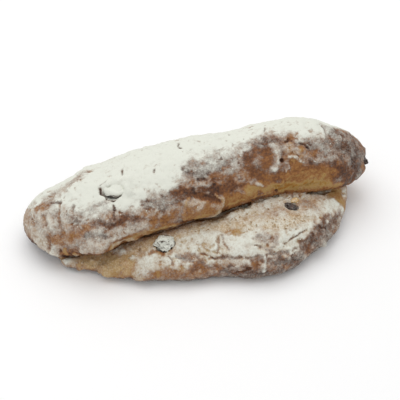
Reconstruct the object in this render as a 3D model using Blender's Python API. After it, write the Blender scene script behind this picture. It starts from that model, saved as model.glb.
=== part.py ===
"""A stollen: a long yeast loaf folded over itself, so that a thick roll lies on a flatter flap.

The frame is +Z up, with the origin under the middle of the loaf on the surface that it rests on.
The loaf lies along X. Its fold opens towards -Y, where the flap sticks out from under the roll.
Raisins and a bit of candied peel sit in pits in its crust.
"""

import math

import bmesh
import bpy
from mathutils import Euler, Matrix, Vector, noise

MM = 0.001
GAP = 0.3 * MM

# The roll and the flap are lofted along X. Each row gives the sizes at one place, in millimetres.
# The roll: x, middle y, middle z, half width, rise to the crown, drop to the lip over the flap.
ROLL = (
    (-142, 8, 20, 41, 32, 34),
    (-115, 3, 25, 42, 30, 32),
    (-90, 1, 32, 44, 28, 24),
    (-50, 7, 38, 42.5, 28, 18),
    (0, 14, 40, 40, 31, 18),
    (60, 20, 42, 36.5, 33, 15),
    (100, 21, 40, 39, 36, 19),
    (142, 18, 32, 37, 33, 20),
)
ROLL_SLICES = 52
ROLL_AROUND = 48
ROLL_ENDS = (4.0, 0.5, 5.0, 0.6)
ROLL_BACK_SINK = 8
ROLL_BACK_FOOT = 4
ROLL_BACK_SQUARENESS = 0.6

# The flap, which runs on under the roll: x, middle y, reach to the front and to the back, height.
FLAP = (
    (-128, 6, 72, 20, 18),
    (-90, 2, 56, 30, 21),
    (-50, 2, 61.5, 38, 27),
    (0, 5, 69, 42, 33),
    (52, 6, 78, 45, 39),
    (124, 18, 76, 34, 37),
)
FLAP_SLICES = 48
FLAP_AROUND = 44
FLAP_ENDS = (3.0, 0.6, 3.5, 0.5)
FLAP_WIDEST = 0.36
FLAP_SQUARENESS = 0.8

# Where the dough swells out or sinks in: x, y, z of the middle, radius, height, in millimetres.
ROLL_SWELLS = (
    (-88, 28, 50, 15, 2.6),
    (-88, -40, 32, 17, 3.2),
    (-66, -36, 28, 12, -2.4),
    (-70, 26, 56, 20, -2.0),
    (2, -26, 44, 15, 2.4),
    (30, 36, 66, 34, -2.4),
    (126, 20, 54, 26, 4.0),
    (-112, -30, 14, 22, 2.5),
)
FLAP_SWELLS = (
    (86, -56, 16, 26, -3.0),
    (86, -50, 12, 7, 2.4),
    (120, 4, 20, 16, 3.0),
    (-76, -46, 12, 16, 2.0),
    (22, -62, 10, 24, 1.6),
)
# The crease along the flap's front, where the dough was tucked in: its x and y, and its sizes.
CREASE = ((-28, -52), (-7, -60), (21, -67), (52, -65), (74, -54))
CREASE_WIDTH = 9
CREASE_DEPTH = 2.2

# The unevenness of the whole loaf, and the share of it that stays within one swell.
LUMP_SIZE = 34
LUMP_HEIGHT = 2.0

CRUST = (0.42, 0.30, 0.20)
RAISIN = (0.055, 0.032, 0.028)
DUSTED_RAISIN = (0.42, 0.40, 0.35)
CANDIED_PEEL = (0.62, 0.36, 0.10)

# What shows in the crust: name, place, half sizes, turn in degrees, colour.
FRUITS = (
    ("raisin_tip", (138, 14, 38), (6.5, 4.6, 4.6), (0, 30, -20), RAISIN),
    ("raisin_flap", (69, -26.5, 34.5), (6.5, 4.0, 3.2), (0, 12, -28), RAISIN),
    ("raisin_seam", (-35, -39, 26), (7.4, 6.6, 6.0), (10, 0, 15), DUSTED_RAISIN),
    ("raisin_crown", (-70, -10, 59), (8.6, 6.4, 4.4), (0, -8, -10), DUSTED_RAISIN),
    ("peel_flap", (73, -20.5, 36), (2.8, 2.2, 2.0), (20, 10, 30), CANDIED_PEEL),
)
WRINKLE_SIZE = 3.2
WRINKLE_DEPTH = 0.9

# A block whose top is the surface that the loaf rests on: length, width, thickness.
TABLE = (400, 300, 100)

# Every place above is from the fold's own middle. This brings the origin under the loaf's middle.
TO_MIDDLE = (-1.0, 6.3, 0)


def sizes_at(rows, x):
    """The sizes at x, in metres, on smooth curves through the rows, which are in millimetres."""
    x = min(max(x / MM, rows[0][0]), rows[-1][0])
    k = next(i for i in range(len(rows) - 1) if x <= rows[i + 1][0])
    before, start, end = rows[max(k - 1, 0)], rows[k], rows[k + 1]
    after = rows[min(k + 2, len(rows) - 1)]
    span = end[0] - start[0]
    s = (x - start[0]) / span
    sizes = []
    for i in range(1, len(start)):
        slope_in = (end[i] - before[i]) / (end[0] - before[0])
        slope_out = (after[i] - start[i]) / (after[0] - start[0])
        size = (1 + 2 * s) * (1 - s) ** 2 * start[i] + s * (1 - s) ** 2 * span * slope_in
        size += s * s * (3 - 2 * s) * end[i] - s * s * (1 - s) * span * slope_out
        sizes.append(size * MM)
    return sizes


def fullness(rows, ends, x):
    """1 along the lobe and 0 at its tips. ends says how square and how pointed each end is."""
    low, high = rows[0][0] * MM, rows[-1][0] * MM
    share = 2 * (x - low) / (high - low) - 1
    square, point = ends[:2] if share < 0 else ends[2:]
    return max(0.0, 1 - abs(share) ** square) ** point


def signed_power(value, power):
    return math.copysign(abs(value) ** power, value)


def roll_point(x, angle):
    """A point of the roll's skin. The angle is 0 at the back and a quarter turn at the crown."""
    middle_y, middle_z, half_width, crown, lip = sizes_at(ROLL, x)
    full = fullness(ROLL, ROLL_ENDS, x)
    side, rise = math.cos(angle), math.sin(angle)
    behind = (1 + side) / 2
    top = middle_z + crown * full
    middle_z -= ROLL_BACK_SINK * MM * behind
    if rise > 0:
        return Vector((x, middle_y + half_width * full * side, middle_z + (top - middle_z) * rise))
    # The lip hangs over the flap in front, and the dough runs down to the table behind.
    drop = lip + (middle_z + ROLL_BACK_FOOT * MM - lip) * behind
    if side > 0:
        side = signed_power(side, ROLL_BACK_SQUARENESS)
    return Vector((x, middle_y + half_width * full * side, middle_z + drop * full * rise))


def flap_point(x, angle):
    """A point of the flap's skin, widest a little above the table."""
    middle_y, front, back, height = sizes_at(FLAP, x)
    full = fullness(FLAP, FLAP_ENDS, x)
    side = signed_power(math.cos(angle), FLAP_SQUARENESS)
    rise = signed_power(math.sin(angle), FLAP_SQUARENESS)
    reach = front if side < 0 else back
    widest = FLAP_WIDEST * height
    return Vector((x, middle_y + reach * full * side, widest + (height - widest) * full * rise))


def loft(rows, slices, around, point):
    """A closed skin: one ring of points for each slice, bridged to the next, with a pole at each tip."""
    low, high = rows[0][0] * MM, rows[-1][0] * MM
    turns = [2 * math.pi * j / around for j in range(around)]
    bm = bmesh.new()
    rings = []
    for i in range(1, slices):
        # The slices lie closer together towards the tips.
        x = low + (high - low) * (1 - math.cos(math.pi * i / slices)) / 2
        ring = [bm.verts.new(point(x, angle)) for angle in turns]
        rings.append([bm.edges.new((ring[j - 1], ring[j])) for j in range(around)])
    for near, far in zip(rings, rings[1:]):
        bmesh.ops.bridge_loops(bm, edges=near + far)
    for ring, tip in ((rings[0], low), (rings[-1], high)):
        pole = bm.verts.new(sum((point(tip, angle) for angle in turns), Vector()) / around)
        for edge in ring:
            bm.faces.new((*edge.verts, pole))
    bmesh.ops.recalc_face_normals(bm, faces=bm.faces)
    return bm


def swell(bm, swells):
    """Pushes the skin out or in around each swell, and makes all of it a little uneven."""
    bm.normal_update()
    moves = []
    for vert in bm.verts:
        height = LUMP_HEIGHT * noise.noise(vert.co / (LUMP_SIZE * MM))
        for *middle, radius, rise in swells:
            share = (vert.co - Vector(middle) * MM).length / (radius * MM)
            if share < 1:
                height += rise * (1 - share * share) ** 2
        moves.append(vert.normal * height * MM)
    for vert, move in zip(bm.verts, moves):
        vert.co += move


def crease(bm, line, width, depth):
    """Presses a soft groove into the top of the skin along a line seen from above."""
    for vert in bm.verts:
        if vert.normal.z < 0:
            continue
        place = vert.co.xy / MM
        nearest = width
        for start, end in zip(line, line[1:]):
            start, along = Vector(start), Vector(end) - Vector(start)
            share = min(max((place - start).dot(along) / along.length_squared, 0), 1)
            nearest = min(nearest, (place - start - share * along).length)
        vert.co -= vert.normal * depth * MM * (1 - (nearest / width) ** 2) ** 2


def fruit_mesh(half_sizes, turn, place, grow=0.0):
    """A squashed ball. With no growth it's wrinkled, and otherwise it's the hollow around the fruit."""
    bm = bmesh.new()
    bmesh.ops.create_icosphere(bm, subdivisions=3, radius=1)
    for vert in bm.verts:
        direction = vert.co.copy()
        vert.co = Vector(half * MM * part for half, part in zip(half_sizes, direction))
        if grow:
            vert.co += direction * grow
        else:
            fold = abs(noise.noise((vert.co + Vector(place) * MM) / (WRINKLE_SIZE * MM)))
            vert.co -= direction * fold * WRINKLE_DEPTH * MM
    angles = Euler([math.radians(angle) for angle in turn])
    bm.transform(Matrix.Translation(Vector(place) * MM) @ angles.to_matrix().to_4x4())
    return bm


def add_object(name, bm):
    bm.transform(Matrix.Translation(Vector(TO_MIDDLE) * MM))
    mesh = bpy.data.meshes.new(name)
    bm.to_mesh(mesh)
    bm.free()
    mesh.shade_smooth()
    made = bpy.data.objects.new(name, mesh)
    bpy.context.scene.collection.objects.link(made)
    return made


def add_cutter(name, bm):
    cutter = add_object(name, bm)
    cutter.hide_render = True
    cutter.display_type = "WIRE"
    return cutter


def combine(target, other, operation):
    boolean = target.modifiers.new(other.name, "BOOLEAN")
    boolean.operation = operation
    boolean.solver = "EXACT"
    boolean.object = other


def paint(target, colour, roughness):
    material = bpy.data.materials.new(target.name)
    material.use_nodes = True
    shader = material.node_tree.nodes["Principled BSDF"]
    shader.inputs["Base Color"].default_value = (*colour, 1)
    shader.inputs["Roughness"].default_value = roughness
    shader.inputs["Metallic"].default_value = 0
    target.data.materials.append(material)


def make_table():
    """The block that gives the loaf its flat underside."""
    length, width, thickness = Vector(TABLE) * MM
    bm = bmesh.new()
    bmesh.ops.create_cube(bm, size=1)
    bm.transform(Matrix.Diagonal((length, width, thickness, 1)))
    bm.transform(Matrix.Translation((0, 0, -thickness / 2)))
    return add_cutter("table", bm)


def make_loaf():
    roll = loft(ROLL, ROLL_SLICES, ROLL_AROUND, roll_point)
    swell(roll, ROLL_SWELLS)
    loaf = add_object("loaf", roll)
    flap = loft(FLAP, FLAP_SLICES, FLAP_AROUND, flap_point)
    swell(flap, FLAP_SWELLS)
    crease(flap, CREASE, CREASE_WIDTH, CREASE_DEPTH)
    combine(loaf, add_cutter("flap", flap), "UNION")
    combine(loaf, make_table(), "DIFFERENCE")
    paint(loaf, CRUST, 0.85)
    return loaf


def main():
    for old in list(bpy.data.objects):
        bpy.data.objects.remove(old)
    loaf = make_loaf()
    for name, place, half_sizes, turn, colour in FRUITS:
        fruit = add_object(name, fruit_mesh(half_sizes, turn, place))
        paint(fruit, colour, 0.5)
        pit = add_cutter(f"{name}_pit", fruit_mesh(half_sizes, turn, place, GAP))
        combine(loaf, pit, "DIFFERENCE")


main()
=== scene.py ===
import math

import bmesh
import bpy
import numpy as np
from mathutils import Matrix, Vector, noise
from mathutils.bvhtree import BVHTree


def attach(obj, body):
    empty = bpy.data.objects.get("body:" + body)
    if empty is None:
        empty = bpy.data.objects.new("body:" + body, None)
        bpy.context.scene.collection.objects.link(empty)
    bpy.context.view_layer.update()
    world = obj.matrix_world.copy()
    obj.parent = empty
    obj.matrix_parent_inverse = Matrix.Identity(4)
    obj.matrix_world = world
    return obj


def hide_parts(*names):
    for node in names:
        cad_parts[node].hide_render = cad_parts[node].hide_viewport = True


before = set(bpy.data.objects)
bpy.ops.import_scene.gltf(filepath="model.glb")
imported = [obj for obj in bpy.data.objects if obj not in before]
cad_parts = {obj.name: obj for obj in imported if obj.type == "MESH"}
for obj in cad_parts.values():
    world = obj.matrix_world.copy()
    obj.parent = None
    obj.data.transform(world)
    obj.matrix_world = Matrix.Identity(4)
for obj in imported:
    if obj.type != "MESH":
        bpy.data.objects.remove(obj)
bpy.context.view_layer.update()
mm = 0.001
scene = bpy.context.scene
print("frame loaded")


# small tools for all the pieces

def selectOnly(piece):
    bpy.ops.object.select_all(action="DESELECT")
    piece.select_set(True)
    bpy.context.view_layer.objects.active = piece


def applyModifier(piece, kind, **settings):
    selectOnly(piece)
    modifier = piece.modifiers.new(kind.title(), kind)
    for name, value in settings.items():
        setattr(modifier, name, value)
    bpy.ops.object.modifier_apply(modifier=modifier.name)


def copyNode(node, name):
    # a merged copy of a CAD node, as a piece of its own at the origin
    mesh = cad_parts[node].data.copy()
    mesh.materials.clear()
    piece = bpy.data.objects.new(name, mesh)
    mesh.name = name
    scene.collection.objects.link(piece)
    selectOnly(piece)
    bpy.ops.object.mode_set(mode="EDIT")
    bpy.ops.mesh.select_all(action="SELECT")
    bpy.ops.mesh.remove_doubles(threshold=1e-6)
    bpy.ops.object.mode_set(mode="OBJECT")
    return piece


def readPoints(piece):
    points = np.zeros(len(piece.data.vertices) * 3, np.float32)
    piece.data.vertices.foreach_get("co", points)
    return points.reshape(-1, 3).astype(float)


def readNormals(piece):
    normals = np.zeros(len(piece.data.vertices) * 3, np.float32)
    piece.data.vertex_normals.foreach_get("vector", normals)
    return normals.reshape(-1, 3).astype(float)


def movePoints(piece, points):
    piece.data.vertices.foreach_set("co", points.astype(np.float32).ravel())
    piece.data.update()


def noiseOver(points, size, seed, detail=2):
    # smooth random values of about -1 to 1, with swells of that size in mm
    shift = Vector((3.1, 7.7, 5.3)) * seed
    scale = 1 / (size * mm)
    return np.array([noise.fractal(Vector(p) * scale + shift, 0.6, 2.1, detail) for p in points])


def wobble(points, size, reach, seed):
    # the points pushed about at random, so that what is measured from them turns uneven
    shift = Vector((5.1, 1.9, 8.3)) * seed
    scale = 1 / (size * mm)
    return points + np.array([noise.noise_vector(Vector(p) * scale + shift) for p in points]) * reach * mm


def easeIn(value):
    value = np.clip(value, 0, 1)
    return value * value * (3 - 2 * value)


def readField(piece, name):
    values = np.zeros(len(piece.data.vertices), np.float32)
    piece.data.attributes[name].data.foreach_get("value", values)
    return values.astype(float)


def writeField(piece, name, values):
    layer = piece.data.attributes.new(name, "FLOAT", "POINT")
    layer.data.foreach_set("value", values.astype(np.float32))


# the camera, the light and the table top

studio = {
    "target": (-1.5, 3.3, 32),       # mm
    "azimuth": -10,
    "elevation": 45,
    "distance": 0.9,                 # metres
    "widthSeen": 0.32,               # metres at the target
    "skyStrength": 0.70,
    "skyColor": (1.0, 1.0, 1.0, 1),
    "topLight": 6.4,                 # watts
    "topLightSize": 1.2,
    "sideLight": 0.0,
    "floorColor": (0.98, 0.98, 0.98, 1),
}


def makeCamera():
    turn = math.radians(studio["azimuth"])
    lift = math.radians(studio["elevation"])
    back = Vector((math.sin(turn) * math.cos(lift), -math.cos(turn) * math.cos(lift), math.sin(lift)))
    target = Vector(studio["target"]) * mm
    bpy.ops.object.camera_add(location=target + back * studio["distance"])
    camera = bpy.context.object
    camera.name = "camera"
    camera.rotation_euler = back.to_track_quat("Z", "Y").to_euler()
    camera.data.angle = 2 * math.atan(studio["widthSeen"] / 2 / studio["distance"])
    camera.data.clip_start = 0.01
    scene.camera = camera


def addLight(name, place, power, size):
    bpy.ops.object.light_add(type="AREA", location=place)
    light = bpy.context.object
    light.name = name
    light.data.energy = power
    light.data.size = size
    light.rotation_euler = Vector(place).to_track_quat("Z", "Y").to_euler()


def makeStudio():
    makeCamera()
    world = bpy.data.worlds.new("studio")
    world.use_nodes = True
    sky = world.node_tree.nodes["Background"]
    sky.inputs["Color"].default_value = studio["skyColor"]
    sky.inputs["Strength"].default_value = studio["skyStrength"]
    scene.world = world
    addLight("topLight", (-0.1, 0.25, 1.1), studio["topLight"], studio["topLightSize"])
    addLight("sideLight", (0.5, -1.0, 0.6), studio["sideLight"], 0.8)
    scene.view_settings.view_transform = "Standard"
    bpy.ops.mesh.primitive_plane_add(size=6)
    floor = bpy.context.object
    floor.name = "floor"
    paint = bpy.data.materials.new("floorPaint")
    paint.use_nodes = True
    surface = paint.node_tree.nodes["Principled BSDF"]
    surface.inputs["Base Color"].default_value = studio["floorColor"]
    surface.inputs["Roughness"].default_value = 0.9
    floor.data.materials.append(paint)


# shader nodes, and the icing sugar that lies on the crust and the raisins

def addNode(tree, kind, inputs=None, **settings):
    made = tree.nodes.new("ShaderNode" + kind)
    for name, value in settings.items():
        setattr(made, name, value)
    for name, value in (inputs or {}).items():
        if isinstance(value, bpy.types.NodeSocket):
            tree.links.new(value, made.inputs[name])
        else:
            made.inputs[name].default_value = value
    return made


def addMath(tree, operation, a, b=0.0, c=0.0):
    return addNode(tree, "Math", {0: a, 1: b, 2: c}, operation=operation).outputs[0]


def addMix(tree, amount, a, b, blend="MIX"):
    mixed = addNode(tree, "Mix", {0: amount, 6: a, 7: b}, data_type="RGBA", blend_type=blend)
    return mixed.outputs[2]


def addNoise(tree, size, detail=2.0, roughness=0.5, distortion=0.0, stretch=None):
    # a pattern with swells of that size in mm, in the piece's own coordinates
    place = addNode(tree, "TexCoord").outputs["Object"]
    if stretch:
        place = addNode(tree, "Mapping", {"Vector": place, "Scale": stretch}).outputs[0]
    made = addNode(tree, "TexNoise", {"Vector": place, "Scale": 1 / (size * mm), "Detail": detail,
                                      "Roughness": roughness, "Distortion": distortion})
    return made.outputs[0]


def addRange(tree, value, low, high, newLow=0.0, newHigh=1.0):
    made = addNode(tree, "MapRange", {"Value": value, "From Min": low, "From Max": high,
                                      "To Min": newLow, "To Max": newHigh},
                   interpolation_type="SMOOTHSTEP")
    return made.outputs["Result"]


dusting = {
    "drift": 9.0,                    # mm, the broad swells in how thick it lies
    "clump": 4.0,
    "grain": 1.3,
    "color": (0.735, 0.745, 0.665, 1),
    "thin": (0.585, 0.54, 0.475, 1),
}


def makeDusting():
    # icing sugar over a base colour: a veil where thin, grains and clumps, then a full coat
    group = bpy.data.node_groups.new("icingDust", "ShaderNodeTree")
    face = group.interface
    face.new_socket("Base Color", in_out="INPUT", socket_type="NodeSocketColor")
    face.new_socket("Sugar Color", in_out="INPUT", socket_type="NodeSocketColor")
    amount = face.new_socket("Amount", in_out="INPUT", socket_type="NodeSocketFloat")
    amount.default_value = 0.5
    face.new_socket("Color", in_out="OUTPUT", socket_type="NodeSocketColor")
    face.new_socket("Cover", in_out="OUTPUT", socket_type="NodeSocketFloat")
    face.new_socket("Height", in_out="OUTPUT", socket_type="NodeSocketFloat")
    inside = group.nodes.new("NodeGroupInput").outputs
    drift = addNoise(group, dusting["drift"], 3.0, 0.6)
    clump = addNoise(group, dusting["clump"], 3.0, 0.65)
    grain = addNoise(group, dusting["grain"], 2.0, 0.6)
    spread = addMath(group, "MULTIPLY_ADD", drift, 0.4, inside["Amount"])
    spread = addMath(group, "MULTIPLY_ADD", clump, 0.5, spread)
    spread = addMath(group, "MULTIPLY_ADD", grain, 0.6, spread)
    cover = addRange(group, spread, 0.84, 1.82)
    thinned = addMix(group, cover, dusting["thin"], inside["Sugar Color"])
    color = addMix(group, cover, inside["Base Color"], thinned)
    height = addMath(group, "MULTIPLY_ADD", grain, 0.35, cover)
    result = group.nodes.new("NodeGroupOutput").inputs
    group.links.new(color, result["Color"])
    group.links.new(cover, result["Cover"])
    group.links.new(height, result["Height"])
    return group


def placeDusting(tree, baseColor, amount):
    placed = addNode(tree, "Group", node_tree=dustGroup)
    tree.links.new(baseColor, placed.inputs["Base Color"])
    tree.links.new(amount, placed.inputs["Amount"])
    placed.inputs["Sugar Color"].default_value = dusting["color"]
    return placed.outputs


def fillRamp(ramp, stops):
    stack = ramp.color_ramp.elements
    while len(stack) < len(stops):
        stack.new(1.0)
    for spot, (place, color) in zip(stack, stops):
        spot.position = place
        spot.color = (*color, 1)


def startMaterial(name):
    made = bpy.data.materials.new(name)
    made.use_nodes = True
    return made, made.node_tree, made.node_tree.nodes["Principled BSDF"]


# the baked crust: "bakeAndShade" runs from torn dough to the darkest brown, and also carries painted shade where
# holes, cracks, creases and the fold are set dark

crustLook = {
    "bakeStops": (
        (0.00, (0.30, 0.125, 0.019)),
        (0.12, (0.35, 0.195, 0.046)),
        (0.24, (0.39, 0.25, 0.095)),
        (0.38, (0.36, 0.20, 0.070)),
        (0.55, (0.29, 0.125, 0.036)),
        (0.75, (0.170, 0.066, 0.024)),
        (0.90, (0.100, 0.040, 0.018)),
        (1.00, (0.055, 0.025, 0.015)),
    ),
    "crumbLight": (0.82, 0.72, 0.53, 1),
    "crumbDark": (0.56, 0.41, 0.24, 1),
    "roughness": (0.55, 0.95),
}


def makeCrustMaterial():
    made, tree, surface = startMaterial("bakedCrust")
    fields = {name: addNode(tree, "Attribute", attribute_name=name).outputs["Fac"]
              for name in ("bakeAndShade", "sugar", "crumb")}
    broad = addNoise(tree, 8.0, 3.0, 0.6)
    fine = addNoise(tree, 1.9, 3.0, 0.65)
    bakeAndShade = addMath(tree, "MULTIPLY_ADD", addMath(tree, "SUBTRACT", broad, 0.5), 0.5, fields["bakeAndShade"])
    bakeAndShade = addMath(tree, "MULTIPLY_ADD", addMath(tree, "SUBTRACT", fine, 0.5), 0.8, bakeAndShade)
    ramp = addNode(tree, "ValToRGB", {"Fac": bakeAndShade})
    fillRamp(ramp, crustLook["bakeStops"])
    speck = addRange(tree, addNoise(tree, 1.3, 2.0, 0.6), 0.44, 0.60)
    crumbly = addMix(tree, speck, crustLook["crumbDark"], crustLook["crumbLight"])
    crust = addMix(tree, fields["crumb"], ramp.outputs["Color"], crumbly)
    dust = placeDusting(tree, crust, fields["sugar"])
    tree.links.new(dust["Color"], surface.inputs["Base Color"])
    surface.inputs["Specular IOR Level"].default_value = 0.25
    rough = addRange(tree, dust["Cover"], 0.0, 1.0, *crustLook["roughness"])
    tree.links.new(rough, surface.inputs["Roughness"])
    grit = addNoise(tree, 0.9, 3.0, 0.6)
    height = addMath(tree, "MULTIPLY_ADD", grit, 0.5, dust["Height"])
    height = addMath(tree, "MULTIPLY_ADD", fine, 0.6, height)
    bump = addNode(tree, "Bump", {"Height": height, "Strength": 0.7, "Distance": 0.45 * mm})
    tree.links.new(bump.outputs[0], surface.inputs["Normal"])
    return made


# where marks lie: each lobe has an axis along it, and a mark's turn is measured round that axis,
# 0 degrees at the front, 90 at the top and 180 at the back. Lengths are in mm.

lobes = {
    "roll": ((-145, 13.2, 25.8), (145, 24.8, 40.2)),
    "flap": ((-125, -12, 5), (-100, -26, 6), (-75, -38, 8), (-50, -41, 9), (0, -40, 9),
             (50, -38, 9), (85, -34, 10), (105, -22, 12), (120, -5, 13)),
}


def axisPoint(lobe, along):
    alongs, sides, heights = zip(*lobes[lobe])
    return Vector((along, np.interp(along, alongs, sides), np.interp(along, alongs, heights))) * mm


def turnRound(points, lobe):
    # the turn of each point round the lobe's axis, from -90 degrees underneath to 270
    alongs, sides, heights = zip(*lobes[lobe])
    along = points[:, 0] / mm
    up = points[:, 2] / mm - np.interp(along, alongs, heights)
    turn = np.degrees(np.arctan2(up, np.interp(along, alongs, sides) - points[:, 1] / mm))
    return np.where(turn < -90, turn + 360, turn)


def surfaceSpot(tree, lobe, along, turn):
    angle = math.radians(turn)
    heading = Vector((0, -math.cos(angle), math.sin(angle)))
    spot, facing, _, _ = tree.ray_cast(axisPoint(lobe, along), heading)
    return spot, facing


def markTrail(tree, lobe, places):
    # close-set spots along a mark, each with the way the surface faces there and the mark's reach
    trail = []
    for start, end in zip(places, places[1:] or places):
        steps = 1 + int(max(abs(end[0] - start[0]), abs(end[1] - start[1]) * 0.6) / 1.5)
        for k in range(steps + 1):
            along, turn, reach = (a + (b - a) * k / steps for a, b in zip(start, end))
            spot, facing = surfaceSpot(tree, lobe, along, turn)
            if spot:
                trail.append((spot, facing, reach * mm))
    return trail


def markWeight(body, lobe, places, soft, ragged=0.0):
    # 1 on the mark, falling to 0 at its reach; soft is the share of the reach that it falls over
    best = np.full(len(body["wobbled"]), 9.0)
    trail = markTrail(body["tree"], lobe, places)
    for spot, facing, reach in trail:
        low, high = np.array(spot) - reach * 1.4, np.array(spot) + reach * 1.4
        near = np.where(np.all((body["wobbled"] > low) & (body["wobbled"] < high), axis=1))[0]
        if not len(near):
            continue
        away = np.linalg.norm(body["wobbled"][near] - np.array(spot), axis=1) / reach
        agrees = body["normals"][near] @ np.array(facing) > 0.15
        best[near] = np.minimum(best[near], np.where(agrees, away, 9.0))
    return easeIn((1 - best + ragged * body["ragged"]) / soft) * (best < 8) * body[lobe]


# the loaf

loafLook = {
    "grid": 0.8,                     # mm between the points of its surface
    "triangles": 192000,             # after the smooth parts and the underside are thinned out
    "creviceDepth": 13,              # mm
    "coat": 0.45,                    # mm of sugar where it lies thick
}

# how far the roll stands off the flap along the fold: place along the loaf and gap, in mm
creviceGaps = (
    (-112, 1.2), (-100, 1.5), (-89, 2.4), (-84, 1.4), (-66, 1.0), (-54, 1.6), (-48, 2.6),
    (-42, 2.2), (-32, 1.9), (-8, 2.0), (-2, 3.2), (3, 6.2), (8, 8.0), (14, 7.4), (19, 4.6), (24, 2.4),
    (28, 2.4), (32, 5.4), (36, 4.6), (38, 0.8), (41, 2.0), (52, 1.8), (55, 0.8), (57, 3.6), (61, 1.2),
    (84, 1.2), (90, 3.4), (97, 4.6), (101, 2.6), (106, 1.6), (114, 1.2),
)


def foldLine(piece):
    # the sharp inward edges at the front, where the roll meets the flap
    work = bmesh.new()
    work.from_mesh(piece.data)
    found = []
    for edge in work.edges:
        middle = (edge.verts[0].co + edge.verts[1].co) / 2 / mm
        inward = len(edge.link_faces) == 2 and edge.calc_face_angle_signed(0) < -0.75
        if inward and middle.z > 9.5 and -25 < middle.y < 2 and abs(middle.x) < 118:
            found.append(middle)
    work.free()
    found.sort(key=lambda p: p.x)
    return np.array(found)


def openFold(piece, line):
    # cuts a crevice under the roll, down and back along the fold
    depth = loafLook["creviceDepth"]
    inward = np.array((0, 0.72, -0.69))
    across = np.array((0, 0.69, 0.72))
    rings = []
    for along in np.arange(creviceGaps[0][0], creviceGaps[-1][0] + 0.1, 1.5):
        gap = np.interp(along, *zip(*creviceGaps))
        middle = np.array([along, np.interp(along, line[:, 0], line[:, 1]),
                           np.interp(along, line[:, 0], line[:, 2])])
        wave = 0.5 * noise.noise(Vector((along / 5, 0, 0)))
        rings.append([middle - inward * 9 + across * (1.0 + wave), middle + inward * depth + across * 0.2,
                      middle + inward * depth - across * 0.6, middle - inward * 9 + across * (wave - gap)])
    corners = [tuple(p * mm) for ring in rings for p in ring]
    faces = [(0, 1, 2, 3), tuple(len(corners) - 1 - k for k in range(4))]
    for k in range(len(rings) - 1):
        for j in range(4):
            faces.append((4 * k + j, 4 * k + 4 + j, 4 * k + 4 + (j + 1) % 4, 4 * k + (j + 1) % 4))
    mesh = bpy.data.meshes.new("creviceCutter")
    mesh.from_pydata(corners, [], faces)
    cutter = bpy.data.objects.new("creviceCutter", mesh)
    scene.collection.objects.link(cutter)
    selectOnly(cutter)
    bpy.ops.object.mode_set(mode="EDIT")
    bpy.ops.mesh.select_all(action="SELECT")
    bpy.ops.mesh.normals_make_consistent(inside=False)
    bpy.ops.object.mode_set(mode="OBJECT")
    applyModifier(piece, "BOOLEAN", operation="DIFFERENCE", solver="EXACT", object=cutter)
    bpy.data.objects.remove(cutter)


# the roll is white above this line: place along it in mm and turn in degrees
whiteLine = (
    (-145, 66), (-118, 58), (-102, 46), (-88, 44), (-60, 32), (-46, 40), (-28, 44), (-17, 56), (-9, 80), (30, 86),
    (50, 92), (72, 86), (82, 74), (98, 76), (106, 92), (112, 112), (145, 116),
)

# what is on the crust: the lobe, the places as (along, turn, reach), then sugar and bake there.
# Later rows lie over earlier ones.

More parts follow.
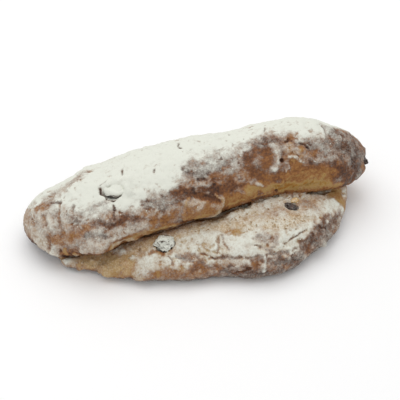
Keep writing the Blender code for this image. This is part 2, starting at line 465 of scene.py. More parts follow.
basePatches = (
    # the roll's left end
    ("roll", ((-140, 0, 12), (-140, 60, 12), (-139, 110, 12)), 0.52, 0.56),
    ("roll", ((-128, 35, 6), (-120, 25, 8)), 0.60, 0.60),
    ("roll", ((-133, 30, 3), (-133, 80, 3), (-133, 125, 4)), 0.80, 0.60),
    ("roll", ((-136, 4, 7), (-129, -8, 9), (-120, -15, 7)), 0.72, 0.50),
    ("roll", ((-130, 62, 6), (-127, 76, 8), (-121, 68, 8)), 0.26, 0.60),
    ("roll", ((-120, 90, 12), (-110, 97, 14), (-99, 106, 12), (-91, 114, 8)), 0.68, 0.68),
    ("roll", ((-117, 66, 4), (-112, 62, 3)), 0.36, 0.90),
    ("roll", ((-106, 33, 6), (-99, 30, 6), (-90, 38, 7), (-80, 42, 7)), 0.66, 0.88),
    ("roll", ((-104, 33, 3), (-99, 30, 3)), 0.34, 0.88),
    ("roll", ((-121, 5, 6), (-114, 8, 8), (-105, 15, 7), (-94, 24, 5)), 0.30, 0.58),
    ("roll", ((-113, -5, 3), (-112, -18, 3)), 0.12, 0.22),
    ("roll", ((-105, -12, 4), (-103, -22, 4)), 0.40, 0.30),
    # the white lip and what is over it
    ("roll", ((-99, 2, 7), (-90, 8, 9), (-78, 12, 6), (-64, 13, 5), (-52, 16, 4)), 0.66, 0.60),
    ("roll", ((-94, 18, 5), (-86, 17, 5), (-78, 14, 4)), 0.40, 0.96),
    ("roll", ((-88, 27, 5), (-80, 25, 5), (-70, 26, 7), (-60, 26, 6), (-52, 25, 4)), 0.28, 0.86),
    ("roll", ((-74, 24, 3), (-66, 25, 3)), 0.06, 0.84),
    ("roll", ((-76, 2, 4), (-66, 3, 5), (-60, 4, 4)), 0.54, 0.22),
    ("roll", ((-58, 5, 5), (-48, 6, 6)), 0.26, 0.34),
    # the browned middle
    ("roll", ((-46, 36, 8), (-36, 32, 10), (-26, 36, 8)), 0.45, 0.90),
    ("roll", ((-42, 18, 6), (-34, 15, 7), (-26, 19, 7)), 0.15, 0.62),
    ("roll", ((-46, 6, 5), (-34, 5, 5), (-22, 3, 4)), 0.22, 0.48),
    ("roll", ((-22, 42, 6), (-12, 38, 7)), 0.14, 0.86),
    ("roll", ((-12, 66, 8), (-6, 62, 12), (2, 62, 12), (14, 72, 12)), 0.68, 0.98),
    ("roll", ((-14, 66, 4), (-10, 60, 5), (0, 57, 4)), 0.42, 0.98),
    ("roll", ((-5, 41, 4.5), (1, 41, 4.5)), 0.86, 0.88),
    ("roll", ((-4, 40, 5), (4, 38, 7), (13, 36, 10), (22, 38, 8), (30, 40, 6)), 0.02, 0.86),
    ("roll", ((8, 50, 6), (20, 50, 6)), 0.22, 0.74),
    ("roll", ((17, 83, 4), (22, 76, 4), (28, 66, 3)), 0.34, 0.90),
    ("roll", ((26, 42, 4), (31, 42, 4)), 0.46, 0.70),
    ("roll", ((-94, 34, 4), (-88, 32, 4)), 0.84, 0.70),
    ("roll", ((18, 20, 9), (30, 18, 8), (37, 22, 7)), 0.0, 0.50),
    ("roll", ((22, 56, 7), (28, 60, 6), (32, 68, 6)), 0.52, 0.78),
    ("roll", ((16, 78, 9), (30, 76, 9), (38, 78, 7)), 0.78, 0.85),
    # the bare part above the torn dough
    ("roll", ((46, 86, 7), (54, 85, 7), (63, 82, 6)), 0.34, 0.90),
    ("roll", ((44, 74, 6), (38, 70, 6), (34, 60, 6), (40, 50, 6)), 0.10, 0.80),
    ("roll", ((53, 70, 6), (52, 55, 7)), 0.06, 0.68),
    ("roll", ((60, 74, 5), (61, 62, 5), (57, 47, 5)), 0.60, 0.70),
    ("roll", ((46, 38, 7), (58, 36, 7), (68, 38, 5)), 0.06, 0.64),
    ("roll", ((36, 28, 6), (50, 24, 7), (60, 24, 6)), 0.02, 0.26),
    ("roll", ((70, 70, 6), (76, 62, 7), (82, 56, 5)), 0.48, 0.50),
    ("roll", ((81, 67, 4),), 0.05, 0.28),
    ("roll", ((73, 51, 5), (78, 44, 6)), 0.0, 0.54),
    ("roll", ((88, 72, 7), (96, 66, 10), (102, 58, 9)), 0.53, 0.94),
    ("roll", ((88, 47, 6), (98, 47, 7), (107, 45, 6)), 0.08, 0.96),
    ("roll", ((72, 38, 5), (84, 37, 5), (100, 35, 5)), 0.0, 0.56),
    # the right end, thinly dusted
    ("roll", ((108, 105, 9), (112, 84, 12), (116, 84, 12)), 0.62, 0.92),
    ("roll", ((118, 58, 14), (127, 60, 14), (132, 45, 10)), 0.36, 0.94),
    ("roll", ((104, 30, 8), (112, 24, 9), (118, 10, 9)), 0.0, 0.92),
    ("roll", ((124, 32, 8), (128, 12, 8), (127, -8, 8), (118, -12, 6)), 0.28, 0.96),
    ("roll", ((130, 104, 8), (136, 76, 8), (138, 30, 8), (135, 0, 8), (130, -14, 7)), 0.40, 0.94),
    ("roll", ((100, 6, 6), (108, 0, 7), (112, -8, 6)), 0.0, 0.36),
    # the torn dough
    ("roll", ((62, 20, 8), (76, 19, 12), (88, 17, 12), (97, 15, 9)), 0.0, 0.07),
    ("roll", ((66, 35, 5), (80, 35, 6), (94, 34, 7), (104, 26, 7)), 0.0, 0.60),
    ("roll", ((68, 24, 3), (80, 23, 3.5), (94, 20, 3.5)), 0.0, 0.0),
    ("roll", ((68, 10, 4), (78, 9, 4), (88, 8, 4)), 0.04, 0.26),
    ("roll", ((70, 28, 5), (84, 28, 7), (100, 22, 8)), 0.0, 0.50),
    ("roll", ((92, 50, 7), (100, 51, 8), (108, 52, 8)), 0.50, 0.76),
    ("flap", ((-34, 26, 7), (-22, 24, 8), (-12, 28, 7)), 0.64, 0.44),
    # the flap's right end, bare under the roll
    ("flap", ((104, 138, 6), (113, 136, 7), (115, 126, 7), (116, 112, 6)), 0.06, 0.44),
    # the flap's left part, bare and golden
    ("flap", ((-117, 90, 6), (-116, 40, 7), (-116, 0, 7)), 0.22, 0.28),
    ("flap", ((-104, 85, 6), (-102, 50, 7), (-100, 10, 8)), 0.42, 0.48),
    ("flap", ((-96, 112, 8), (-92, 80, 9), (-84, 122, 8), (-78, 95, 11), (-74, 60, 12), (-80, 30, 11)), 0.08, 0.24),
    ("flap", ((-88, 50, 5), (-88, 20, 6)), 0.40, 0.40),
    ("flap", ((-68, 110, 5), (-67, 75, 5), (-66, 50, 5)), 0.06, 0.38),
    ("flap", ((-60, 75, 5), (-60, 35, 6), (-58, 5, 8)), 0.50, 0.40),
    ("flap", ((-54, 90, 6), (-48, 72, 10), (-40, 56, 11), (-32, 48, 8)), 0.80, 0.36),
    ("flap", ((-64, 130, 7), (-54, 129, 7), (-44, 126, 6)), 0.04, 0.50),
    ("flap", ((-62, 116, 5), (-52, 114, 6), (-45, 116, 4)), 0.18, 0.42),
    # bare brown below the fold raisin: painted shadow under it
    ("flap", ((-45, 103, 5), (-39, 92, 5), (-33, 96, 5), (-27, 104, 5)), 0.12, 0.62),
    ("flap", ((-26, 100, 9), (-12, 92, 11), (-5, 86, 9)), 0.76, 0.36),
    ("flap", ((-24, 66, 8), (-13, 56, 8)), 0.54, 0.66),
    # its lower edge
    ("flap", ((-48, 20, 8), (-36, 16, 10), (-22, 14, 10), (-12, 8, 9)), 0.34, 0.62),
    ("flap", ((-45, 28, 4), (-44, 16, 4)), 0.06, 0.36),
    ("flap", ((-16, 30, 6), (-8, 26, 8), (0, 22, 8)), 0.24, 0.74),
    ("flap", ((4, 38, 5), (14, 32, 7), (22, 28, 6)), 0.60, 0.50),
    ("flap", ((8, 12, 7), (20, 6, 9), (38, 4, 9), (52, 2, 8)), 0.36, 0.94),
    ("flap", ((29, 32, 4), (31, 20, 4)), 0.20, 0.66),
    ("flap", ((32, 36, 5), (38, 30, 6), (44, 26, 6)), 0.32, 0.84),
    ("flap", ((50, 28, 8), (60, 18, 9), (68, 12, 9)), 0.40, 0.96),
    ("flap", ((70, 42, 6), (74, 30, 7), (78, 14, 8)), 0.26, 0.84),
    # its white top and its right end
    ("flap", ((12, 86, 7), (14, 66, 9), (22, 58, 9)), 0.86, 0.50),
    ("flap", ((36, 88, 6), (60, 84, 7), (76, 92, 6)), 0.76, 0.45),
    ("flap", ((36, 74, 6), (46, 64, 8)), 0.58, 0.80),
    ("flap", ((70, 34, 5), (78, 44, 8), (84, 60, 9), (90, 76, 9), (97, 90, 7)), 0.26, 0.88),
    ("flap", ((84, 30, 10), (98, 48, 12), (106, 68, 10)), 0.40, 0.88),
    ("flap", ((84, 110, 7), (93, 114, 8), (100, 116, 6)), 0.90, 0.42),
    ("flap", ((104, 140, 6), (111, 134, 8), (115, 114, 7), (116, 96, 6)), 0.04, 0.34),
    ("flap", ((8, 117, 4), (14, 106, 6), (21, 99, 5)), 0.06, 0.38),
)


# lifts and hollows: the lobe, the places, height in mm, how soft the edge is, sugar and bake; in many hollows the
# low sugar and dark bake are painted shade
shapes = (
    # the white lip that hangs over the flap, and the crust scale beside the fold
    ("roll", ((-98, 0, 9), (-90, 0, 11), (-84, 4, 8)), 2.2, 0.9, None, None),
    ("roll", ((-12, 17, 9), (-3, 16, 11), (6, 17, 9)), 1.4, 0.25, 0.22, 0.56),
    ("roll", ((-15, 27, 4), (-9, 29, 4.5), (-2, 27, 4), (-7, 20, 3)), 0.5, 0.8, 0.56, 0.50),
    ("roll", ((-9, 9, 4), (-2, 11, 4)), 0.3, 1.0, 0.08, 0.32),
    ("roll", ((-7, 34, 3.2), (0, 32, 4.8), (9, 25, 4.6)), -1.3, 0.8, 0.0, 0.84),
    ("roll", ((8, 30, 1.8), (13, 23, 2.2), (12, 16, 3.2), (8, 9, 4.0), (1, 5, 3.0)), 1.1, 0.9, 0.52, 0.30),
    ("roll", ((-18, 10, 1.6), (-18, 22, 1.6), (-14, 33, 1.8)), 0.5, 0.8, 0.30, 0.40),
    ("roll", ((5, 20, 3.5), (9, 17, 3.5)), 0.3, 1.0, 0.50, 0.50),
    # torn dough, sunk under the browned skin
    ("roll", ((67, 14, 8), (78, 20, 11), (90, 20, 12), (99, 22, 8)), -1.3, 0.22, None, None),
    ("roll", ((61, 20, 1.6), (66, 29, 1.8), (73, 40, 1.8)), -0.9, 0.9, 0.0, 0.62),
    ("roll", ((63, 24, 2.2), (69, 34, 2.4), (75, 42, 2.0)), 0.7, 0.9, None, None),
    ("roll", ((75, 12, 1.6), (80, 22, 1.8), (88, 27, 1.6)), 0.7, 0.9, 0.05, 0.28),
    ("roll", ((84, 12, 1.6), (90, 22, 1.8)), -0.7, 0.9, None, 0.0),
    ("roll", ((93, 12, 1.6), (98, 24, 1.8)), 0.6, 0.9, 0.04, 0.24),
    ("roll", ((66, 31, 1.8), (78, 35, 2.0), (92, 36, 2.0), (101, 34, 1.6)), 0.7, 0.9, 0.0, 0.46),
    ("roll", ((72, 12, 1.8), (84, 14, 2.0), (94, 12, 1.6)), -0.6, 0.9, 0.0, 0.24),
    # the torn, pale edge of the skin over the fold
    ("roll", ((-78, -3, 7), (-67, -3, 7), (-57, 0, 6)), 2.4, 1.0, None, None),
    ("roll", ((-78, 1, 1.8), (-68, 2, 2.0), (-60, 3, 1.6)), 0.5, 0.8, 0.45, 0.16),
    ("roll", ((-47, 9, 1.4), (-42, 7, 1.6), (-34, 6, 1.8), (-26, 4, 1.6)), 0.6, 0.8, 0.30, 0.16),
    ("roll", ((17, 14, 1.4), (26, 15, 1.6), (38, 15, 1.6), (52, 14, 1.4)), 0.4, 0.8, 0.06, 0.20),
    # the skin drawn out to the raisin at the tip, and heaped against the one that it covers
    ("roll", ((138, 100, 5), (139, 40, 6), (138, -10, 5)), 1.6, 1.0, None, None),
    ("roll", ((-73, 70, 6), (-66, 70, 7), (-60, 64, 8), (-60, 54, 7)), 2.6, 1.0, None, None),
    # folds round the roll's left end, whiter on the ridges and browner in the troughs: thinner sugar there, and
    # painted shade in the troughs
    ("roll", ((-117, 64, 3.0), (-121, 45, 3.4), (-121, 20, 3.0)), 1.2, 1.0, 0.82, None),
    ("roll", ((-113, 58, 2.2), (-113, 35, 2.6), (-114, 12, 2.2)), -1.0, 1.0, 0.34, 0.62),
    ("roll", ((-126, 44, 2.2), (-125, 25, 2.4)), -0.9, 1.0, 0.30, 0.64),
    ("roll", ((-124, 8, 2.2), (-124, -6, 2.2)), -0.9, 1.0, 0.30, 0.72),
    ("roll", ((-129, 55, 2.8), (-129, 20, 3.0), (-128, -5, 2.6)), 0.9, 1.0, 0.70, None),
    ("roll", ((-133, 45, 2.0), (-134, 20, 2.2)), -0.8, 1.0, 0.36, 0.66),
    ("roll", ((-109, 50, 3.0), (-110, 30, 3.0)), 0.7, 1.0, 0.72, None),
    ("roll", ((-105, 100, 2.8), (-104, 75, 2.8)), 0.6, 1.0, None, None),
    ("roll", ((-117, 110, 2.4), (-118, 85, 2.6)), -0.7, 1.0, 0.50, None),
    ("roll", ((-120, 74, 1.6), (-117, 67, 1.8), (-112, 61, 1.6)), -0.9, 0.9, 0.20, 0.92),
    # the loaf's outline
    ("roll", ((-111, 112, 12), (-97, 118, 14), (-84, 118, 14), (-71, 122, 14), (-58, 118, 12), (-45, 116, 10)),
     -1.9, 1.0, None, None),
    ("roll", ((-130, 88, 9), (-120, 96, 10), (-112, 104, 8)), -1.2, 1.0, None, None),
    ("roll", ((130, 108, 9), (134, 86, 8)), -1.6, 1.0, None, None),
    ("roll", ((122, 0, 8), (128, -6, 8)), -1.4, 1.0, None, None),
    ("roll", ((-2, 118, 12), (18, 118, 12)), 0.9, 1.0, None, None),
    ("roll", ((-132, -15, 7), (-124, -12, 7), (-118, -12, 6)), 3.0, 1.0, None, None),
    ("flap", ((-113, 40, 7), (-106, 26, 8)), 2.6, 0.9, None, None),
    ("flap", ((-84, 10, 9), (-76, 0, 9), (-64, 2, 9), (-54, -2, 8)), 2.8, 0.9, None, None),
    ("flap", ((96, 36, 8), (103, 52, 8)), -3.6, 1.0, None, None),
    ("flap", ((88, 20, 5),), 4.0, 0.9, 0.80, None),
    ("flap", ((117, 106, 6), (117, 92, 6)), 1.2, 1.0, None, None),
    # wavy folds on the roll's right end, whiter on the ridges and bare and dark in the troughs: thinner sugar
    # there, and painted shade in the troughs
    ("roll", ((104, 105, 2), (103, 80, 2.4), (107, 58, 2)), -0.5, 1.0, 0.48, 0.90),
    ("roll", ((111, 98, 2.4), (109, 82, 3.0), (113, 66, 2.4)), 1.0, 1.0, 0.50, None),
    ("roll", ((114, 104, 2), (119, 84, 2.6), (117, 66, 2)), -1.0, 1.0, 0.26, 0.92),
    ("roll", ((124, 90, 2.4), (123, 72, 3.0), (125, 50, 2.4)), 0.9, 1.0, 0.46, None),
    ("roll", ((128, 82, 2), (130, 58, 2.4), (127, 36, 2)), -0.8, 1.0, 0.26, 0.94),
    ("roll", ((110, 52, 2), (116, 40, 2.4), (118, 26, 2)), -0.7, 1.0, 0.22, 0.90),
    ("roll", ((117, 56, 2.4), (122, 40, 2.6)), 0.7, 1.0, 0.48, None),
    # cracks over the bare part, with dough showing orange inside the shallower ones and the darkest brown in the
    # deepest: painted shade in those
    ("roll", ((69, 79, 1.3), (73, 81, 1.7), (76, 75, 1.4)), -1.4, 0.9, 0.0, 0.98),
    ("roll", ((80, 76, 1.4), (84, 73, 1.8), (86, 68, 1.4)), -1.6, 0.9, 0.0, 1.0),
    ("roll", ((87, 66, 1.3), (88, 62, 1.4)), -1.4, 0.9, 0.0, 1.0),
    ("roll", ((80, 66, 4),), 0.8, 0.9, None, None),
    ("roll", ((92, 84, 5), (98, 74, 5)), 0.8, 1.0, None, None),
    ("roll", ((66, 41, 1.1), (68, 50, 1.2), (63, 58, 1.1)), 0.7, 0.9, 0.92, None),
    ("roll", ((66, 53, 1.4), (69, 50, 2.0), (70, 46, 1.4)), 0.8, 1.0, 0.80, None),
    ("roll", ((75, 55, 1.8), (79, 51, 1.6)), 0.8, 1.0, 0.74, None),
    ("roll", ((76, 68, 1.8), (80, 66, 2.0)), 0.7, 1.0, 0.70, None),
    ("roll", ((60, 70, 1.3), (61, 62, 1.5), (59, 54, 1.3)), 0.8, 0.9, 0.84, None),
    ("roll", ((69, 55, 1.2), (74, 49, 1.2)), -1.0, 0.9, 0.05, 0.62),
    ("roll", ((73, 63, 1.2), (78, 58, 1.2)), -1.0, 0.9, 0.10, 0.70),
    ("roll", ((57, 46, 3.2),), 0.8, 0.7, 0.98, None),
    ("roll", ((42, 33, 3.2), (45, 30, 2.4)), 0.5, 0.8, 0.74, None),
    ("roll", ((70, 60, 2.0), (77, 56, 2.2), (81, 50, 1.8)), 0.5, 0.9, 0.80, None),
    # small slashes in the sugar, thin on sugar and darkest brown in them: the crust showing through, and painted
    # shade
    ("roll", ((-101, 57, 1.8), (-102, 50, 2.1), (-103, 43, 1.8)), -1.1, 0.9, 0.24, 0.98),
    ("roll", ((-71, 40, 1.4), (-72, 29, 1.5)), -0.9, 0.9, 0.20, 0.98),
    ("roll", ((-61, 88, 1.5), (-62, 79, 1.6)), -0.8, 0.9, 0.30, 0.98),
    ("roll", ((-66, 73, 1.8), (-64, 71, 1.8)), -0.5, 0.9, 0.44, 0.98),
    ("roll", ((-37, 75, 1.9), (-38, 72, 1.9)), -0.7, 0.9, 0.46, 0.98),
    ("roll", ((-14, 113, 1.7), (-13, 107, 2.0), (-12, 101, 1.6)), -1.0, 0.9, 0.30, 0.98),
    ("roll", ((28, 117, 2.0), (28, 112, 1.8)), -0.9, 0.9, 0.32, 0.98),
    ("roll", ((57, 108, 1.4), (55, 100, 1.5)), -0.8, 0.9, 0.34, 0.98),
    ("roll", ((38, 96, 1.2),), -0.6, 0.9, 0.36, 0.98),
    ("roll", ((-80, 65, 1.8), (-80, 57, 2.6), (-76, 49, 2.8), (-71, 46, 2.2)), -1.4, 0.7, 0.16, 1.0),
    ("roll", ((-79, 70, 1.6), (-74, 74, 1.6)), -0.5, 0.9, 0.56, 0.98),
    ("roll", ((-109, -8, 1.4), (-106, -18, 1.4)), -1.2, 0.9, 0.05, 1.0),
    # small holes, bare and set to the darkest brown: painted shade in them
    ("roll", ((64, 57, 2.8),), -3.6, 0.8, 0.0, 1.0),
    ("roll", ((73, 64, 1.3),), -1.2, 0.8, 0.1, 0.95),
    ("roll", ((57, 12, 1.7), (57, 15, 1.4)), -2.0, 0.8, 0.0, 0.95),
    ("roll", ((-116, -7, 1.9),), -2.4, 0.8, 0.0, 1.0),
    ("roll", ((-135, 40, 1.6),), -1.2, 0.8, 0.1, 0.95),
    ("roll", ((29, 62, 1.2),), -0.9, 0.8, 0.2, 0.98),
    ("roll", ((-10, 43, 1.7), (-9, 38, 1.7)), -1.0, 0.8, 0.1, 0.98),
    ("roll", ((7, 44, 1.7), (6, 40, 1.7)), -1.0, 0.8, 0.1, 0.98),
    ("roll", ((-4, 50, 2.2), (1, 51, 2.4), (8, 49, 2.0)), -0.9, 0.9, 0.16, 0.96),
    ("roll", ((28, 42, 1.3),), -0.9, 0.8, 0.3, 0.98),
    ("flap", ((-56.5, 116, 2.0),), -2.4, 0.8, 0.0, 0.92),
    ("flap", ((-77, 129, 1.4),), -1.6, 0.8, 0.0, 0.92),
    ("flap", ((88.5, 128, 1.7),), -2.2, 0.8, 0.0, 0.90),
    ("flap", ((61, 118, 1.8), (66, 108, 2.2), (73, 105, 2.0)), -1.0, 0.9, 0.05, 0.84),
    ("flap", ((70, 124, 3.0), (75, 120, 3.0)), 1.2, 0.9, 0.80, None),
    # folds and creases of the flap, thin on sugar and browner in the hollows, whiter on the ridges: the crust
    # showing through, and painted shade in the creases
    ("flap", ((-35, 78, 1.2), (-33, 62, 1.4), (-33, 50, 1.4), (-31, 38, 1.2)), -1.1, 0.9, 0.35, 0.80),
    ("flap", ((-29, 72, 1.6), (-25, 60, 1.8), (-17, 50, 1.8)), -0.7, 0.9, 0.52, 0.90),
    ("flap", ((-9, 71, 1.2), (-5, 61, 1.5), (-2, 55, 1.2)), -0.9, 0.9, 0.25, 0.80),
    ("flap", ((-12, 56, 1.4), (-9, 42, 1.6)), -0.6, 0.9, 0.40, 0.90),
    ("flap", ((7, 103, 1.6), (5, 85, 2.0), (4, 63, 1.8)), -1.2, 1.0, 0.40, 0.66),
    ("flap", ((9, 98, 1.4), (9, 80, 1.6), (12, 60, 1.4)), -0.9, 1.0, 0.48, 0.80),
    ("flap", ((7, 96, 1.4), (7, 72, 1.4)), 0.6, 0.9, None, None),
    ("flap", ((-4, 54, 2.0), (6, 47, 2.6), (15, 42, 2.6), (25, 40, 2.0)), -1.1, 0.9, 0.34, 0.84),
    ("flap", ((25, 40, 2.0), (42, 39, 2.2), (56, 38, 2.2), (68, 39, 2.0), (78, 50, 2.0)), -0.9, 0.9, 0.46, 0.84),
    ("flap", ((32, 59, 1.2), (40, 54, 1.4), (50, 53, 1.4), (57, 55, 1.3)), -1.0, 0.9, 0.36, 0.92),
    ("flap", ((56, 54, 1.2), (62, 60, 1.4), (68, 67, 1.4), (75, 74, 1.3)), -1.2, 0.9, 0.26, 0.94),
    ("flap", ((13, 5, 1.6), (18, 11, 1.8), (27, 18, 1.6)), -1.0, 0.9, 0.02, 0.84),
    ("flap", ((37, 40, 2.0), (37, 26, 2.2), (37, 12, 1.8)), 0.8, 0.9, 0.84, None),
    ("flap", ((31, 72, 2.6), (37, 76, 2.2)), -0.4, 0.9, 0.56, 0.90),
    ("flap", ((37, 54, 3.5), (44, 47, 3.5)), -0.5, 1.0, 0.46, 0.84),
    ("flap", ((66, 36, 3), (70, 32, 3)), -0.7, 1.0, 0.30, 0.90),
    # the pocket round the fold raisin, bare and dark brown: painted shade in it
    ("flap", ((-43, 104, 1.8), (-38, 95, 2.4), (-33, 99, 2.4), (-29, 108, 2.2), (-29, 116, 2.0)), -1.3, 0.9, 0.04, 0.90),
    ("flap", ((65, 35, 2.0), (60, 28, 2.0)), -0.8, 0.9, 0.30, 0.94),
    ("flap", ((88, 76, 2.0), (92, 62, 2.2), (94, 48, 2.0)), -0.9, 0.9, 0.08, 0.92),
)

# where the flap's skin is crumbly: the mark as above, how crumbly and the sugar there
crumblyPlaces = (
    ("flap", ((-98, 105, 8), (-86, 70, 12), (-76, 100, 12), (-68, 70, 8)), 0.36, 0.10),
    ("flap", ((-10, 130, 6), (2, 124, 9), (20, 120, 10)), 0.85, 0.52),
    ("flap", ((24, 126, 9), (40, 128, 9), (56, 132, 8), (84, 136, 7)), 0.85, 0.84),
    ("flap", ((32, 104, 8), (46, 98, 8), (60, 96, 9), (74, 100, 9), (80, 112, 8), (86, 124, 7)), 0.75, 0.52),
    ("flap", ((-60, 124, 7), (-48, 120, 7), (-26, 124, 6), (-10, 125, 6)), 0.60, 0.36),
)

# sugar that lies in the narrow gap round a fruit
filledPlaces = (
    ("roll", ((-72, 70, 4), (-64, 70, 5), (-60, 62, 5), (-60, 54, 4)), 1.05),
)


# how lumpy the skin is, from 0 to 1, over the lobe's marks
lumpyPlaces = (
    ("roll", ((-136, 60, 16), (-126, 30, 20), (-116, 10, 16)), 1.0),
    ("roll", ((-104, 20, 10), (-92, 30, 10)), 0.8),
    ("roll", ((-45, 20, 12), (-30, 20, 12)), 0.8),
    ("roll", ((60, 70, 10), (72, 62, 14), (82, 62, 12)), 1.0),
    ("roll", ((108, 80, 14), (118, 60, 16), (124, 40, 14)), 0.8),
    ("flap", ((-100, 60, 20), (-60, 60, 24), (-20, 60, 24)), 0.9),
    ("flap", ((20, 40, 20), (60, 40, 20), (95, 60, 20)), 0.8),
)


def skySeen(points, normals, tree):
    # the share of the sky overhead that each point sees, which is where sifted sugar comes from; where it is small,
    # in the fold, the crust is also given painted shade
    rays = [Vector((0, 0, 1))]
    rays += [Vector((math.cos(k), math.sin(k), 0.8)).normalized() for k in range(0, 6)]
    starts = points + normals * 0.5 * mm
    return np.array([sum(tree.ray_cast(start, ray)[0] is None for ray in rays) / len(rays)
                     for start in map(Vector, starts)])


def sculptLoaf(loaf, fold):
    points, normals = readPoints(loaf), readNormals(loaf)
    tree = BVHTree.FromObject(loaf, bpy.context.evaluated_depsgraph_get())
    outward = np.interp(points[:, 0] / mm, fold[:, 0], fold[:, 1]) * mm - points[:, 1]
    upward = points[:, 2] - np.interp(points[:, 0] / mm, fold[:, 0], fold[:, 2]) * mm
    overFold = np.where(outward > 0, upward + 0.08 * outward, 0.72 * upward - 0.69 * outward)
    onFlap = easeIn(0.5 - overFold / (3 * mm))
    body = {"wobbled": wobble(wobble(points, 8, 1.8, 1), 2.6, 0.7, 2), "normals": normals,
            "ragged": noiseOver(points, 5, 1), "tree": tree, "flap": onFlap, "roll": 1 - onFlap}
    turnUp = normals[:, 2]
    patchy, mottled = noiseOver(points, 24, 2, 3), noiseOver(points, 9, 3, 3)
    open = skySeen(points, normals, tree)
    turn = turnRound(points, "roll")
    underLine = np.interp(points[:, 0] / mm, (-145, -100, -60, -20, 10, 60, 145), (0.62, 0.58, 0.56, 0.44, 0.42, 0.34, 0.34))
    over = (turn - np.interp(points[:, 0] / mm, *zip(*whiteLine)) + 9 * patchy + 5 * mottled) / 26
    sugar = (underLine + (1.08 - underLine) * easeIn(over + 0.5)) * easeIn((turnUp + 0.5) / 0.8)
    sugar -= 0.30 * easeIn((turn - 118) / 40) * easeIn((mottled + 0.15) / 0.5)
    sugar += onFlap * (0.40 + 0.42 * easeIn((turnUp + 0.1) / 0.8) - sugar)
    bakeAndShade = 0.72 + 0.14 * patchy + 0.12 * mottled - 0.14 * onFlap
    bakeAndShade -= 0.34 * onFlap * easeIn((turnUp - 0.4) / 0.35)
    # darker brown on the low crust that faces down: the underside's own deeper bake, and painted shade along the
    # lower edges
    bakeAndShade += 0.48 * easeIn(0.3 - 1.5 * turnUp) * easeIn(2 - points[:, 2] / (10 * mm))
    crumb = np.zeros(len(points))
    move = np.zeros(len(points))
    marked = np.zeros(len(points))
    swells, bumps, pores = noiseOver(points, 17, 5), noiseOver(points, 7, 6), noiseOver(points, 3, 7)
    pits = easeIn((noiseOver(points, 3.6, 9) - 0.4 * patchy - 0.50) / 0.22)
    for lobe, places, sugarThere, bakeAndShadeThere in basePatches:
        weight = markWeight(body, lobe, places, 0.85, 0.45)
        sugar += (sugarThere - sugar) * weight
        bakeAndShade += (bakeAndShadeThere - bakeAndShade) * weight
    for lobe, places, amount, sugarThere in crumblyPlaces:
        weight = markWeight(body, lobe, places, 0.6, 0.4)
        crumb += (amount - crumb) * weight
        sugar += (sugarThere - sugar) * weight * 0.85
    # more sugar on the bumps and less in the pits, from the same noise that raises and sinks the skin: painted
    # shade in the hollows; the mottled share is the coat's own uneven thickness
    sugar += 0.11 * mottled + 0.11 * bumps + 0.07 * pores - 0.28 * pits * easeIn(sugar / 0.8)
    for lobe, places, height, soft, sugarThere, bakeAndShadeThere in shapes:
        weight = markWeight(body, lobe, places, soft, 0.25)
        marked = np.maximum(marked, weight * (places[0][2] < 4))
        move += height * mm * weight
        if sugarThere is not None:
            sugar += (sugarThere - sugar) * weight
        if bakeAndShadeThere is not None:
            bakeAndShade += (bakeAndShadeThere - bakeAndShade) * weight
    sugar *= easeIn((open - 0.04) / 0.25)
    # in the fold, where little sky is seen, and on the flap beside it the crust is set to a fixed bake: paler dough
    # towards the right end, and at the left a darker brown that is painted shade under the roll; sugar and crumbs
    # thin out beside the fold
    reach = np.interp(points[:, 0] / mm, (-110, -76, -60, -42, 10, 30, 45, 110), (1.5, 2.5, 4.0, 6.5, 6.5, 3.5, 1.6, 1.8)) * mm
    nearFold = easeIn(1.4 - np.hypot(outward, upward) / reach) * onFlap
    foldBakeAndShade = np.interp(points[:, 0] / mm, (55, 85), (0.66, 0.34))
    bakeAndShade += (foldBakeAndShade - bakeAndShade) * np.maximum(easeIn((0.4 - open) / 0.3) * (points[:, 2] > 12 * mm), 0.8 * nearFold)
    crumb *= 1 - 0.6 * nearFold
    sugar *= 1 - 0.7 * nearFold
    for lobe, places, sugarThere in filledPlaces:
        sugar += (sugarThere - sugar) * markWeight(body, lobe, places, 0.4, 0.1)
    coat = loafLook["coat"] * mm * easeIn((sugar - 0.35) / 0.5)
    lumpy = np.full(len(points), 0.5)
    for lobe, places, amount in lumpyPlaces:
        lumpy += (amount - lumpy) * markWeight(body, lobe, places, 0.8, 0.3)
    lumps = 0.9 * swells + lumpy * (1.25 * bumps + 0.5 * pores) - 0.35 * pits
    grit = noiseOver(points, 1.9, 4) * 0.30 * mm * crumb
    points = points + normals * (move + coat + grit + lumps * mm)[:, None]
    points[:, 2] = np.maximum(points[:, 2], 0)
    movePoints(loaf, points)
    for name, values in (("sugar", sugar), ("bakeAndShade", bakeAndShade), ("crumb", crumb)):
        writeField(loaf, name, np.clip(values, 0, 1.3))
    writeField(loaf, "open", open)
    loaf.data.calc_loop_triangles()
    triangles = len(loaf.data.loop_triangles)
    thinned = loaf.vertex_groups.new(name="thinned")
    thinned.add(np.flatnonzero(marked < 0.1).tolist(), 1, "REPLACE")
    applyModifier(loaf, "DECIMATE", ratio=loafLook["triangles"] / triangles, vertex_group="thinned")
    loaf.vertex_groups.clear()
    print("loaf shaped and dusted:", triangles, "triangles, now", len(loaf.data.polygons))


def makeLoaf():
    loaf = copyNode("loaf", "loafCrust")
    fold = foldLine(loaf)
    openFold(loaf, fold)
    applyModifier(loaf, "REMESH", mode="VOXEL", voxel_size=loafLook["grid"] * mm)
    applyModifier(loaf, "SMOOTH", factor=0.5, iterations=4)
    print("loaf meshed")
    sculptLoaf(loaf, fold)
    return loaf


# raisins and candied peel

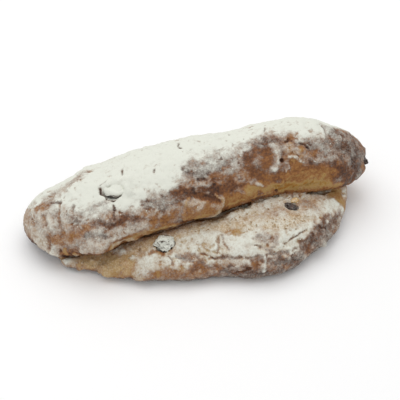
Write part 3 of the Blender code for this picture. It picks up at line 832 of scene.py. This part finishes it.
fruitLook = {
    # node: piece, material slot, size against the solid's along its long, middle and short side,
    # how far it is shifted, how crooked and how wrinkled in mm, sugar on it
    "raisin_tip": ("tipRaisin", "raisin", (1.02, 0.84, 0.78), (-1.2, 0, 0.4), 0.7, 1.6, 0.34),
    "raisin_flap": ("flapRaisin", "raisin", (1.12, 0.66, 0.80), (0.3, -0.3, -0.5), 0.9, 1.5, 0.28),
    "raisin_seam": ("foldRaisin", "dusted_raisin", (1.14, 1.04, 1.00), (0, 0, 0), 2.2, 1.9, 1.08),
    "raisin_crown": ("crownRaisin", "dusted_raisin", (1.06, 1.06, 1.10), (1.8, 1.9, -0.2), 1.8, 0.2, 1.15),
    "peel_flap": ("flapPeel", "candied_peel", (1.55, 1.25, 1.15), (0, 0, 0), 0.9, 0.6, 0.40),
}


def makeRaisinMaterial():
    made, tree, surface = startMaterial("raisinSkin")
    skin = addNode(tree, "ValToRGB", {"Fac": addNoise(tree, 3.0, 4.0, 0.65)})
    fillRamp(skin, ((0.32, (0.012, 0.008, 0.007)), (0.50, (0.045, 0.022, 0.016)), (0.68, (0.11, 0.055, 0.035))))
    sugar = addNode(tree, "Attribute", attribute_name="sugar").outputs["Fac"]
    dust = placeDusting(tree, skin.outputs["Color"], sugar)
    tree.links.new(dust["Color"], surface.inputs["Base Color"])
    tree.links.new(addRange(tree, dust["Cover"], 0.0, 1.0, 0.38, 0.95), surface.inputs["Roughness"])
    height = addMath(tree, "MULTIPLY_ADD", addNoise(tree, 1.2, 3.0, 0.6), 1.2, dust["Height"])
    bump = addNode(tree, "Bump", {"Height": height, "Strength": 0.6, "Distance": 0.4 * mm})
    tree.links.new(bump.outputs[0], surface.inputs["Normal"])
    return made


def makePeelMaterial():
    made, tree, surface = startMaterial("candiedPeel")
    rind = addNode(tree, "ValToRGB", {"Fac": addNoise(tree, 2.4, 3.0, 0.6)})
    fillRamp(rind, ((0.30, (0.48, 0.23, 0.05)), (0.52, (0.68, 0.44, 0.15)), (0.72, (0.78, 0.62, 0.34))))
    sugar = addNode(tree, "Attribute", attribute_name="sugar").outputs["Fac"]
    dust = placeDusting(tree, rind.outputs["Color"], sugar)
    tree.links.new(dust["Color"], surface.inputs["Base Color"])
    tree.links.new(addRange(tree, dust["Cover"], 0.0, 1.0, 0.30, 0.9), surface.inputs["Roughness"])
    bump = addNode(tree, "Bump", {"Height": addNoise(tree, 0.8, 2.0, 0.5), "Strength": 0.4,
                                  "Distance": 0.3 * mm})
    tree.links.new(bump.outputs[0], surface.inputs["Normal"])
    surface.inputs["Subsurface Weight"].default_value = 0.15
    surface.inputs["Subsurface Radius"].default_value = (0.004, 0.002, 0.001)
    return made


def makeFruit(node, material):
    name, slot, sizes, shift, crooked, wrinkle, sugarOnIt = fruitLook[node]
    fruit = copyNode(node, name)
    applyModifier(fruit, "SUBSURF", levels=2, render_levels=2)
    points, normals = readPoints(fruit), readNormals(fruit)
    middle = points.mean(0)
    folds = np.abs(noiseOver(points, 3.4, 5, 2)) * 1.5
    fine = np.abs(noiseOver(points, 1.5, 6, 2))
    sides = np.linalg.svd(points - middle, full_matrices=False)[2]
    bent = np.stack([noiseOver(points, 6, seed, 1) for seed in (7, 8, 9)], 1) * crooked * mm
    points = middle + np.array(shift) * mm + ((points - middle) @ sides.T * sizes) @ sides + bent
    points -= normals * (folds + fine * 0.4)[:, None] * wrinkle * mm
    points += normals * 0.35 * wrinkle * mm
    movePoints(fruit, points)
    facing = readNormals(fruit)[:, 2]
    writeField(fruit, "sugar", np.clip(sugarOnIt * easeIn((facing + 0.6) / 1.0) - 0.1 * folds * wrinkle, 0, 1.3))
    fruit.data.materials.append(material)
    fruit.data.shade_smooth()
    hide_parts(node)
    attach(fruit, "root")
    return fruit


# loose sugar and crumbs

scatterLook = {
    "sugarClumps": {"count": 300, "sizes": (0.28, 0.8), "flat": 0.55},
    "crustCrumbs": {"count": 420, "sizes": (0.4, 1.1), "flat": 0.75},
}


def makeGrains(name, body, chances, material, seed):
    # many small lumps on the crust, joined into one piece
    look = scatterLook[name]
    bpy.ops.object.select_all(action="DESELECT")
    bpy.ops.mesh.primitive_ico_sphere_add(subdivisions=1, radius=1)
    lump = bpy.context.object
    corners = readPoints(lump)
    faces = [tuple(face.vertices) for face in lump.data.polygons]
    bpy.data.objects.remove(lump)
    choose = np.random.default_rng(seed)
    chosen = choose.choice(len(chances), look["count"], replace=False, p=chances / chances.sum())
    small, large = look["sizes"]
    allCorners, allFaces = [], []
    for k, spot in enumerate(chosen):
        up = Vector(body["normals"][spot])
        size = (small + (large - small) * choose.random() ** 3) * mm
        turned = up.to_track_quat("Z", "Y").to_matrix()
        shape = corners * choose.uniform(0.65, 1.25, corners.shape) * (size, size * choose.uniform(0.6, 1), size)
        shape[:, 2] *= look["flat"]
        shape = shape @ np.array(turned).T + body["points"][spot] + np.array(up) * size * 0.25
        allCorners.append(shape)
        allFaces += [tuple(i + k * len(corners) for i in face) for face in faces]
    mesh = bpy.data.meshes.new(name)
    mesh.from_pydata([tuple(p) for p in np.concatenate(allCorners)], [], allFaces)
    grains = bpy.data.objects.new(name, mesh)
    scene.collection.objects.link(grains)
    mesh.materials.append(material)
    mesh.shade_smooth()
    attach(grains, "root")
    return grains


def makeGrainMaterial(name, size, stops, roughness):
    made, tree, surface = startMaterial(name)
    shade = addNode(tree, "ValToRGB", {"Fac": addNoise(tree, size, 2.0, 0.6)})
    fillRamp(shade, stops)
    tree.links.new(shade.outputs["Color"], surface.inputs["Base Color"])
    surface.inputs["Roughness"].default_value = roughness
    bump = addNode(tree, "Bump", {"Height": addNoise(tree, 0.5, 2.0, 0.6), "Strength": 0.5,
                                  "Distance": 0.2 * mm})
    tree.links.new(bump.outputs[0], surface.inputs["Normal"])
    return made


makeStudio()
dustGroup = makeDusting()
crustMaterial = makeCrustMaterial()
print("studio and materials ready")
loafCrust = makeLoaf()
loafCrust.data.materials.append(crustMaterial)
loafCrust.data.shade_smooth()
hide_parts("loaf")
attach(loafCrust, "root")

raisinMaterial = makeRaisinMaterial()
for node in ("raisin_tip", "raisin_flap", "raisin_seam", "raisin_crown"):
    makeFruit(node, raisinMaterial)
makeFruit("peel_flap", makePeelMaterial())
print("fruit made")

crustBody = {"points": readPoints(loafCrust), "normals": readNormals(loafCrust)}
halfCovered = np.exp(-((readField(loafCrust, "sugar") - 0.6) / 0.2) ** 2) * readField(loafCrust, "open")
sugarMaterial = makeGrainMaterial("sugarClumpPowder", 3.0, (
    (0.35, (0.66, 0.64, 0.55)), (0.60, (0.74, 0.74, 0.66))), 0.95)
makeGrains("sugarClumps", crustBody, halfCovered, sugarMaterial, 11)
crumbMaterial = makeGrainMaterial("looseCrumb", 4.0, (
    (0.30, (0.30, 0.18, 0.09)), (0.50, (0.50, 0.37, 0.22)), (0.68, (0.66, 0.56, 0.40))), 0.85)
makeGrains("crustCrumbs", crustBody, readField(loafCrust, "crumb") ** 2, crumbMaterial, 12)
print("sugar and crumbs scattered")
